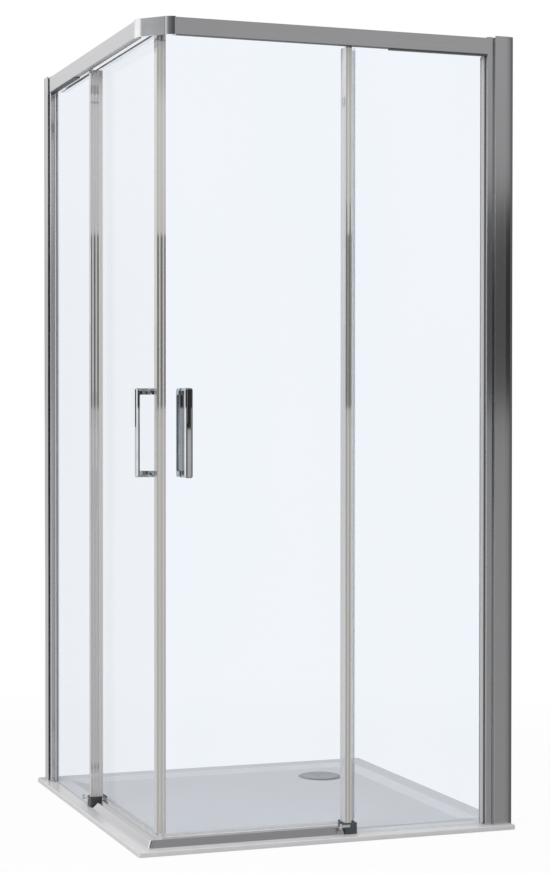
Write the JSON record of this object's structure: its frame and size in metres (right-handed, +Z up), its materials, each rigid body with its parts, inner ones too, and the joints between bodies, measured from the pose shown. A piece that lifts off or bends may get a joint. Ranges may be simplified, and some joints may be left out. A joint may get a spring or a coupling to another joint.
{
  "type": "shower enclosure",
  "caption": "Square corner shower enclosure: a low tray, fixed glass panes on wall profiles, slim top rails, and sliding glass doors that meet at the near corner.",
  "frame": {"origin": "middle of the tray's underside, on the floor", "axes": "+Z up; +X along the front side towards the right-hand wall; +Y along the left side towards the back wall"},
  "size_m": [1, 1, 2.012],
  "materials": {
    "tray": "satin white-grey acrylic",
    "aluminium": "polished silver anodised",
    "chrome": "polished",
    "steel": "satin",
    "glass": "clear, faint blue",
    "clear_seal": "translucent grey",
    "bright_seal": "bright film on grey",
    "dark_rubber": "matt",
    "dark_plastic": "matt",
    "white_plastic": "satin"
  },
  "bodies": {
    "frame": {"shower_tray": "tray", "drain_ring": "steel", "corner_connector": "chrome", "wall_profile_front": "aluminium", "wall_profile_left": "aluminium", "adjust_profile_front": "aluminium", "adjust_profile_left": "aluminium", "pane_gasket_front": "clear_seal", "pane_gasket_left": "clear_seal", "fixed_pane_front": "glass", "fixed_pane_left": "glass", "setting_strip_front": "clear_seal", "setting_strip_left": "clear_seal", "edge_profile_front": "aluminium", "edge_profile_left": "aluminium", "top_rail_front": "aluminium", "top_rail_left": "aluminium", "pane_clamp_front": "dark_rubber", "pane_clamp_left": "dark_rubber", "threshold_front": "aluminium", "threshold_left": "aluminium", "guide_block_front": "dark_plastic", "guide_block_left": "dark_plastic", "guide_lever_front": "dark_plastic", "guide_lever_left": "dark_plastic"},
    "drain_lid": {"drain_cover": "chrome"},
    "door_front": {"door_pane_front": "glass", "magnet_seal_front": "bright_seal", "trailing_seal_front": "clear_seal", "drip_seal_front": "clear_seal", "handle_outer_front": "chrome", "handle_inner_front": "chrome", "handle_bolts_front": "steel", "handle_washers_front": "clear_seal", "roller_axles_front": "steel", "roller_bushes_front": "dark_plastic"},
    "door_left": {"door_pane_left": "glass", "magnet_seal_left": "bright_seal", "trailing_seal_left": "clear_seal", "drip_seal_left": "clear_seal", "handle_outer_left": "chrome", "handle_inner_left": "chrome", "handle_bolts_left": "steel", "handle_washers_left": "clear_seal", "roller_axles_left": "steel", "roller_bushes_left": "dark_plastic"},
    "wheels_near_front": {"rollers_near_front": "white_plastic"},
    "wheels_far_front": {"rollers_far_front": "white_plastic"},
    "wheels_near_left": {"rollers_near_left": "white_plastic"},
    "wheels_far_left": {"rollers_far_left": "white_plastic"}
  },
  "joints": [
    {"name": "door_front_slide", "type": "slide", "parent": "frame", "child": "door_front", "axis": [1, 0, 0], "range_m": [0, 0.39]},
    {"name": "door_left_slide", "type": "slide", "parent": "frame", "child": "door_left", "axis": [0, 1, 0], "range_m": [0, 0.39]},
    {"name": "drain_cover_lift", "type": "slide", "parent": "frame", "child": "drain_lid", "axis": [0, 0, 1], "range_m": [0, 0.04]},
    {"name": "wheels_near_front_turn", "type": "hinge", "parent": "door_front", "child": "wheels_near_front", "pos_m": [-0.341, -0.4305, 1.9889], "axis": [0, 1, 0], "range_deg": [0, 2600]},
    {"name": "wheels_near_left_turn", "type": "hinge", "parent": "door_left", "child": "wheels_near_left", "pos_m": [-0.4305, -0.341, 1.9889], "axis": [-1, 0, 0], "range_deg": [0, 2600]},
    {"name": "wheels_far_front_turn", "type": "hinge", "parent": "door_front", "child": "wheels_far_front", "pos_m": [-0.001, -0.4305, 1.9889], "axis": [0, 1, 0], "range_deg": [0, 2600]},
    {"name": "wheels_far_left_turn", "type": "hinge", "parent": "door_left", "child": "wheels_far_left", "pos_m": [-0.4305, -0.001, 1.9889], "axis": [-1, 0, 0], "range_deg": [0, 2600]}
  ],
  "couplings": [
    {"joint": "wheels_near_front_turn", "follows": "door_front_slide", "rad_per_m": 116.28},
    {"joint": "wheels_near_left_turn", "follows": "door_left_slide", "rad_per_m": 116.28},
    {"joint": "wheels_far_front_turn", "follows": "door_front_slide", "rad_per_m": 116.28},
    {"joint": "wheels_far_left_turn", "follows": "door_left_slide", "rad_per_m": 116.28}
  ]
}
